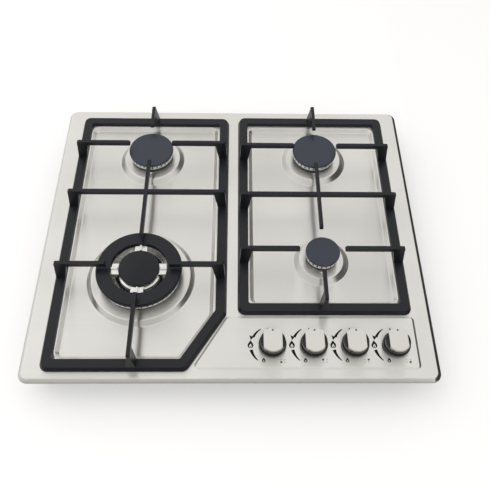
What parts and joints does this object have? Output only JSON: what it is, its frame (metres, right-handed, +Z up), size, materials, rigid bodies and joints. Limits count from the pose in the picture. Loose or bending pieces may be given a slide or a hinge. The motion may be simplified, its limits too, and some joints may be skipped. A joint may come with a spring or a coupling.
{
  "type": "built-in gas cooktop",
  "caption": "Built-in gas hob: brushed steel plate with recessed wells, enamelled pan supports, lift-off burners, a double-ring wok burner and push-and-turn knobs along the front right.",
  "frame": {"origin": "centre of the underside of the bottom box, which is also the bottom centre of the whole part's box", "axes": "+X to the right along the longer side, +Y to the rear, +Z up; the knobs are at the front right"},
  "size_m": [0.58, 0.51, 0.102],
  "materials": {
    "brushed_stainless": "brushed stainless sheet, warm pale grey, satin",
    "galvanised_steel": "galvanised sheet, dull spangle",
    "zinc_fasteners": "zinc plated",
    "seal_rubber": "black moulded rubber and foam",
    "black_enamel": "matt black vitreous enamel, fine orange peel",
    "cap_enamel": "satin blue-black vitreous enamel",
    "burner_aluminium": "die-cast aluminium, bright, lightly blasted",
    "brass": "machined brass",
    "tap_aluminium": "die-cast and drawn aluminium",
    "plain_steel": "bright drawn steel",
    "white_ceramic": "glazed white ceramic",
    "grey_plastic": "moulded dark grey plastic",
    "silicone_lead": "pale silicone insulation",
    "knob_black": "polished black plastic",
    "knob_silver": "satin nickel plated grip"
  },
  "bodies": {
    "root": {"bottom_box": "galvanised_steel", "box_studs_and_nuts": "zinc_fasteners", "burner_screws": "zinc_fasteners", "cable_gland": "seal_rubber", "clamp_brackets": "galvanised_steel", "clamp_screws": "zinc_fasteners", "front_right_burner_cup": "burner_aluminium", "gas_inlet_fitting": "brass", "gas_pipes": "tap_aluminium", "gas_rail": "plain_steel", "igniters": "white_ceramic", "ignition_leads": "silicone_lead", "ignition_module": "grey_plastic", "ignition_switches": "grey_plastic", "injectors": "brass", "rail_brackets": "galvanised_steel", "rear_left_burner_cup": "burner_aluminium", "rear_right_burner_cup": "burner_aluminium", "rim_seal": "seal_rubber", "spindle_seals": "seal_rubber", "tap_1_body": "tap_aluminium", "tap_2_body": "tap_aluminium", "tap_3_body": "tap_aluminium", "tap_4_body": "tap_aluminium", "tap_springs": "plain_steel", "thermocouples": "plain_steel", "top_plate": "brushed_stainless", "wok_burner_cup": "burner_aluminium"},
    "left_support": {"left_support_frame": "black_enamel", "left_support_fingers": "black_enamel", "left_support_feet": "seal_rubber"},
    "right_support": {"right_support_frame": "black_enamel", "right_support_fingers": "black_enamel", "right_support_feet": "seal_rubber"},
    "rear_left_head": {"rear_left_burner_head": "burner_aluminium"},
    "rear_left_cap": {"rear_left_burner_cap": "cap_enamel"},
    "rear_right_head": {"rear_right_burner_head": "burner_aluminium"},
    "rear_right_cap": {"rear_right_burner_cap": "cap_enamel"},
    "front_right_head": {"front_right_burner_head": "burner_aluminium"},
    "front_right_cap": {"front_right_burner_cap": "cap_enamel"},
    "wok_head": {"wok_burner_head": "burner_aluminium"},
    "wok_ring": {"wok_ring_cap": "cap_enamel"},
    "wok_cap": {"wok_inner_cap": "cap_enamel"},
    "tap_1_turning": {"tap_1_plug": "brass"},
    "knob_1": {"tap_1_spindle": "plain_steel", "knob_1_base": "knob_black", "knob_1_grip": "knob_silver"},
    "tap_2_turning": {"tap_2_plug": "brass"},
    "knob_2": {"tap_2_spindle": "plain_steel", "knob_2_base": "knob_black", "knob_2_grip": "knob_silver"},
    "tap_3_turning": {"tap_3_plug": "brass"},
    "knob_3": {"tap_3_spindle": "plain_steel", "knob_3_base": "knob_black", "knob_3_grip": "knob_silver"},
    "tap_4_turning": {"tap_4_plug": "brass"},
    "knob_4": {"tap_4_spindle": "plain_steel", "knob_4_base": "knob_black", "knob_4_grip": "knob_silver"}
  },
  "joints": [
    {"name": "left_support_lift", "type": "slide", "parent": "root", "child": "left_support", "axis": [0, 0, 1], "range_m": [0, 0.08]},
    {"name": "right_support_lift", "type": "slide", "parent": "root", "child": "right_support", "axis": [0, 0, 1], "range_m": [0, 0.08]},
    {"name": "rear_left_head_lift", "type": "slide", "parent": "root", "child": "rear_left_head", "axis": [0, 0, 1], "range_m": [0, 0.006]},
    {"name": "rear_left_cap_lift", "type": "slide", "parent": "rear_left_head", "child": "rear_left_cap", "axis": [0, 0, 1], "range_m": [0, 0.006]},
    {"name": "rear_right_head_lift", "type": "slide", "parent": "root", "child": "rear_right_head", "axis": [0, 0, 1], "range_m": [0, 0.006]},
    {"name": "rear_right_cap_lift", "type": "slide", "parent": "rear_right_head", "child": "rear_right_cap", "axis": [0, 0, 1], "range_m": [0, 0.006]},
    {"name": "front_right_head_lift", "type": "slide", "parent": "root", "child": "front_right_head", "axis": [0, 0, 1], "range_m": [0, 0.03]},
    {"name": "front_right_cap_lift", "type": "slide", "parent": "front_right_head", "child": "front_right_cap", "axis": [0, 0, 1], "range_m": [0, 0.03]},
    {"name": "wok_head_lift", "type": "slide", "parent": "root", "child": "wok_head", "axis": [0, 0, 1], "range_m": [0, 0.004]},
    {"name": "wok_ring_lift", "type": "slide", "parent": "wok_head", "child": "wok_ring", "axis": [0, 0, 1], "range_m": [0, 0.004]},
    {"name": "wok_cap_lift", "type": "slide", "parent": "wok_head", "child": "wok_cap", "axis": [0, 0, 1], "range_m": [0, 0.03]},
    {"name": "knob_1_turn", "type": "hinge", "parent": "root", "child": "tap_1_turning", "pos_m": [0.0575, -0.202, 0.045], "axis": [0, 0, 1], "range_deg": [0, 155]},
    {"name": "knob_1_push", "type": "slide", "parent": "tap_1_turning", "child": "knob_1", "axis": [0, 0, -1], "range_m": [0, 0.003], "stiffness_N_per_m": 1500, "springref_m": -0.002, "deforming": ["tap_springs"]},
    {"name": "knob_2_turn", "type": "hinge", "parent": "root", "child": "tap_2_turning", "pos_m": [0.1155, -0.202, 0.045], "axis": [0, 0, 1], "range_deg": [0, 155]},
    {"name": "knob_2_push", "type": "slide", "parent": "tap_2_turning", "child": "knob_2", "axis": [0, 0, -1], "range_m": [0, 0.003], "stiffness_N_per_m": 1500, "springref_m": -0.002, "deforming": ["tap_springs"]},
    {"name": "knob_3_turn", "type": "hinge", "parent": "root", "child": "tap_3_turning", "pos_m": [0.1735, -0.202, 0.045], "axis": [0, 0, 1], "range_deg": [0, 155]},
    {"name": "knob_3_push", "type": "slide", "parent": "tap_3_turning", "child": "knob_3", "axis": [0, 0, -1], "range_m": [0, 0.003], "stiffness_N_per_m": 1500, "springref_m": -0.002, "deforming": ["tap_springs"]},
    {"name": "knob_4_turn", "type": "hinge", "parent": "root", "child": "tap_4_turning", "pos_m": [0.2315, -0.202, 0.045], "axis": [0, 0, 1], "range_deg": [0, 155]},
    {"name": "knob_4_push", "type": "slide", "parent": "tap_4_turning", "child": "knob_4", "axis": [0, 0, -1], "range_m": [0, 0.003], "stiffness_N_per_m": 1500, "springref_m": -0.002, "deforming": ["tap_springs"]}
  ]
}
